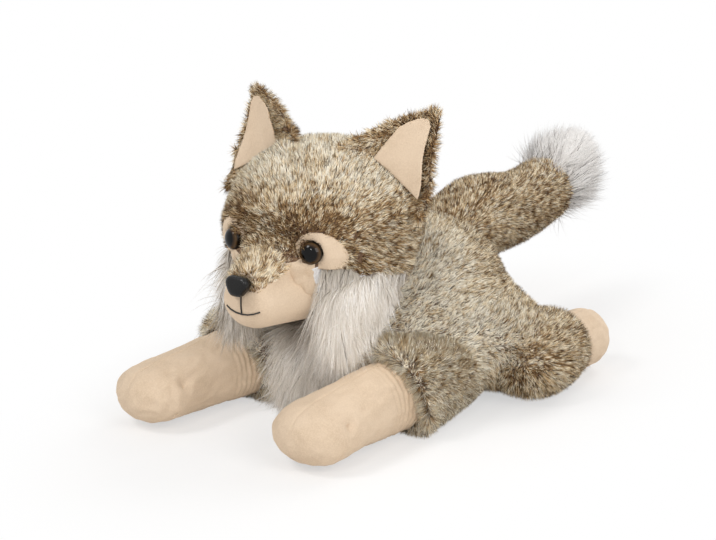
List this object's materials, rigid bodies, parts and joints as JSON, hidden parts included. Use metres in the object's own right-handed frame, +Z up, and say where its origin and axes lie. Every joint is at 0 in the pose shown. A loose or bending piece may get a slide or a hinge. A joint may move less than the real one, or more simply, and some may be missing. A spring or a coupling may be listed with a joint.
{
  "type": "plush wolf",
  "caption": "Stuffed toy wolf lying on its belly, with mottled fur, velvety paws and muzzle, a long white ruff and tail tip, and soft seams at the head, ears, tail and legs.",
  "frame": {"origin": "on the table plane, at the flat of the belly, midway between the left and right flanks", "axes": "-Y the way the wolf faces, +X its left side, +Z up from the table"},
  "size_m": [0.3078, 0.5493, 0.2567],
  "materials": {
    "mottled_fur": "frosted brown pile fur",
    "velvet": "short velvety pile",
    "white_fur": "long soft white pile",
    "stuffing": "loose polyester fibre",
    "nose_plastic": "gloss black",
    "eye_plastic": "gloss dark brown",
    "washer_plastic": "natural white",
    "thread": "black embroidery thread"
  },
  "bodies": {
    "torso": {"body_cover": "mottled_fur", "body_stuffing": "stuffing", "chest_bib": "white_fur"},
    "neck": {"neck_stuffing": "stuffing"},
    "head": {"head_cover": "mottled_fur", "head_stuffing": "stuffing", "snout_gusset": "mottled_fur", "muzzle_cover": "velvet", "muzzle_stuffing": "stuffing", "mouth_stitch": "thread", "nose": "nose_plastic", "nose_washer": "washer_plastic", "eye_patch_left": "velvet", "eye_patch_right": "velvet", "eye_left": "eye_plastic", "eye_right": "eye_plastic", "eye_washer_left": "washer_plastic", "eye_washer_right": "washer_plastic", "cheek_ruff_left": "white_fur", "cheek_ruff_right": "white_fur"},
    "ear_left": {"ear_back_left": "mottled_fur", "ear_lining_left": "velvet"},
    "ear_right": {"ear_back_right": "mottled_fur", "ear_lining_right": "velvet"},
    "tail_root": {"tail_root_wad": "stuffing"},
    "tail": {"tail_cover": "mottled_fur", "tail_stuffing": "stuffing", "tail_tip": "white_fur"},
    "front_leg_left": {"front_leg_sleeve_left": "mottled_fur", "front_paw_left": "velvet", "front_leg_stuffing_left": "stuffing"},
    "front_leg_right": {"front_leg_sleeve_right": "mottled_fur", "front_paw_right": "velvet", "front_leg_stuffing_right": "stuffing"},
    "hind_leg_left": {"hind_leg_sleeve_left": "mottled_fur", "hind_foot_left": "velvet", "hind_leg_stuffing_left": "stuffing"},
    "hind_leg_right": {"hind_leg_sleeve_right": "mottled_fur", "hind_foot_right": "velvet", "hind_leg_stuffing_right": "stuffing"}
  },
  "joints": [
    {"name": "head_turn", "type": "hinge", "parent": "torso", "child": "neck", "pos_m": [0, -0.07, 0.108], "axis": [0, -0.5, 0.866], "range_deg": [-18, 18], "stiffness_Nm_per_rad": 4},
    {"name": "head_nod", "type": "hinge", "parent": "neck", "child": "head", "pos_m": [0, -0.07, 0.108], "axis": [1, 0, 0], "range_deg": [-8, 8], "stiffness_Nm_per_rad": 8},
    {"name": "ear_fold_left", "type": "hinge", "parent": "head", "child": "ear_left", "pos_m": [0.056, -0.104, 0.204], "axis": [0.8253, 0.0577, -0.5618], "range_deg": [-15, 15], "stiffness_Nm_per_rad": 0.3},
    {"name": "ear_fold_right", "type": "hinge", "parent": "head", "child": "ear_right", "pos_m": [-0.056, -0.104, 0.204], "axis": [0.8253, -0.0577, 0.5618], "range_deg": [-15, 15], "stiffness_Nm_per_rad": 0.3},
    {"name": "tail_swing", "type": "hinge", "parent": "torso", "child": "tail_root", "pos_m": [0, 0.09, 0.103], "axis": [0, 0, 1], "range_deg": [-18, 18], "stiffness_Nm_per_rad": 3},
    {"name": "tail_lift", "type": "hinge", "parent": "tail_root", "child": "tail", "pos_m": [0, 0.09, 0.103], "axis": [1, 0, 0], "range_deg": [-14, 14], "stiffness_Nm_per_rad": 4},
    {"name": "front_leg_swing_left", "type": "hinge", "parent": "torso", "child": "front_leg_left", "pos_m": [0.08, -0.052, 0.0325], "axis": [0, 0, 1], "range_deg": [-5, 16], "stiffness_Nm_per_rad": 1},
    {"name": "front_leg_swing_right", "type": "hinge", "parent": "torso", "child": "front_leg_right", "pos_m": [-0.062, -0.056, 0.0325], "axis": [0, 0, -1], "range_deg": [-5, 16], "stiffness_Nm_per_rad": 1},
    {"name": "hind_leg_swing_left", "type": "hinge", "parent": "torso", "child": "hind_leg_left", "pos_m": [0.114, 0.016, 0.0435], "axis": [0, 0, -1], "range_deg": [-5, 15], "stiffness_Nm_per_rad": 1},
    {"name": "hind_leg_swing_right", "type": "hinge", "parent": "torso", "child": "hind_leg_right", "pos_m": [-0.106, 0.016, 0.0435], "axis": [0, 0, 1], "range_deg": [-5, 15], "stiffness_Nm_per_rad": 1}
  ]
}
